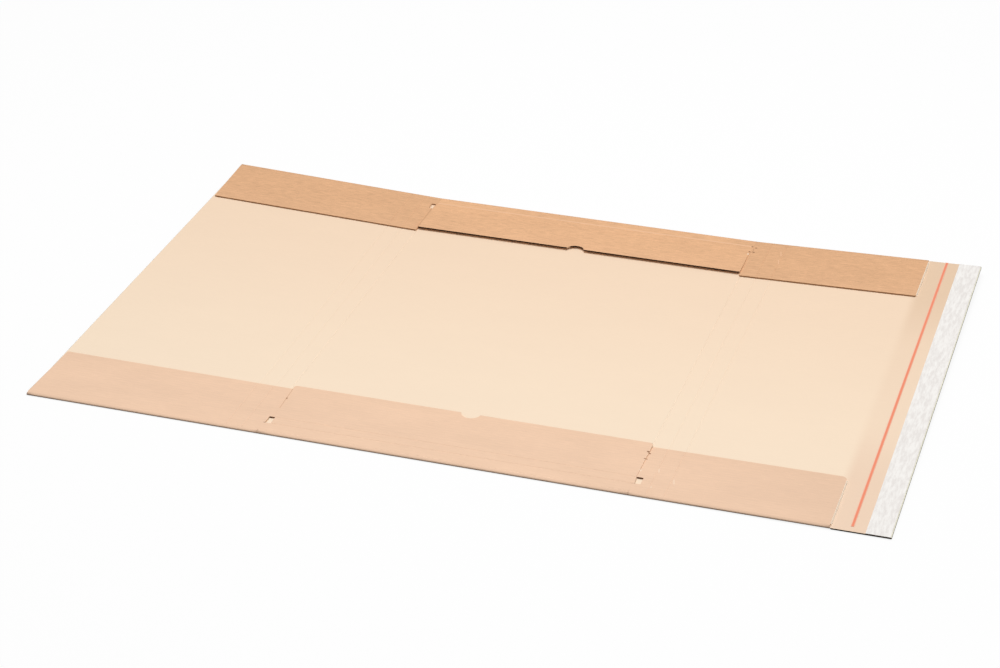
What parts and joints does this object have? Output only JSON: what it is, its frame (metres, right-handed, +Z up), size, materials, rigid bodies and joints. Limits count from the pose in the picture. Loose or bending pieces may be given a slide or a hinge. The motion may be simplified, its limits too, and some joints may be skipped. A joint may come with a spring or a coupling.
{
  "type": "calendar mailer",
  "caption": "Wrap-around mailer of thin corrugated board lying open, long edges folded in, with end covers, centre flaps, tear tape and a lined adhesive strip.",
  "frame": {"origin": "middle of the underside, on the table, at the middle of the whole blank in plan", "axes": "+X along the blank towards the closing end, +Y from the near fold to the far fold, +Z up"},
  "size_m": [0.691, 0.44, 0.0098],
  "materials": {
    "board": "matte",
    "folded_board": "matte",
    "tape_film": "satin",
    "adhesive": "satin",
    "liner_paper": "smooth"
  },
  "bodies": {
    "base": {"base_panel": "board"},
    "left_cover": {"left_cover_panel": "board"},
    "right_cover": {"right_cover_panel": "board", "tear_tape": "tape_film", "adhesive_strip": "adhesive", "release_liner": "liner_paper"},
    "near_centre_flap": {"near_centre_flap": "folded_board"},
    "far_centre_flap": {"far_centre_flap": "folded_board"},
    "left_near_flap": {"left_near_flap": "folded_board"},
    "left_far_flap": {"left_far_flap": "folded_board"},
    "right_near_flap": {"right_near_flap": "folded_board"},
    "right_far_flap": {"right_far_flap": "folded_board"}
  },
  "joints": [
    {"name": "left_cover_crease", "type": "hinge", "parent": "base", "child": "left_cover", "pos_m": [-0.1461, 0, 0.0088], "axis": [0, 1, 0], "range_deg": [0, 180]},
    {"name": "right_cover_crease", "type": "hinge", "parent": "base", "child": "right_cover", "pos_m": [0.1485, 0, 0.012], "axis": [0, -1, 0], "range_deg": [0, 180]},
    {"name": "near_centre_fold", "type": "hinge", "parent": "base", "child": "near_centre_flap", "pos_m": [0, -0.21965, 0.0013], "axis": [1, 0, 0], "range_deg": [0, 178]},
    {"name": "far_centre_fold", "type": "hinge", "parent": "base", "child": "far_centre_flap", "pos_m": [0, 0.21965, 0.0013], "axis": [-1, 0, 0], "range_deg": [0, 174]},
    {"name": "left_near_fold", "type": "hinge", "parent": "left_cover", "child": "left_near_flap", "pos_m": [-0.1485, -0.21965, 0.0013], "axis": [1, 0, 0], "range_deg": [0, 180]},
    {"name": "left_far_fold", "type": "hinge", "parent": "left_cover", "child": "left_far_flap", "pos_m": [-0.1485, 0.21965, 0.0013], "axis": [-0.9993, 0, 0.0365], "range_deg": [0, 180]},
    {"name": "right_near_fold", "type": "hinge", "parent": "right_cover", "child": "right_near_flap", "pos_m": [0.1485, -0.21965, 0.0013], "axis": [1, 0, 0.0036], "range_deg": [0, 180]},
    {"name": "right_far_fold", "type": "hinge", "parent": "right_cover", "child": "right_far_flap", "pos_m": [0.1485, 0.21965, 0.0013], "axis": [-0.9995, 0, -0.0314], "range_deg": [0, 180]}
  ]
}
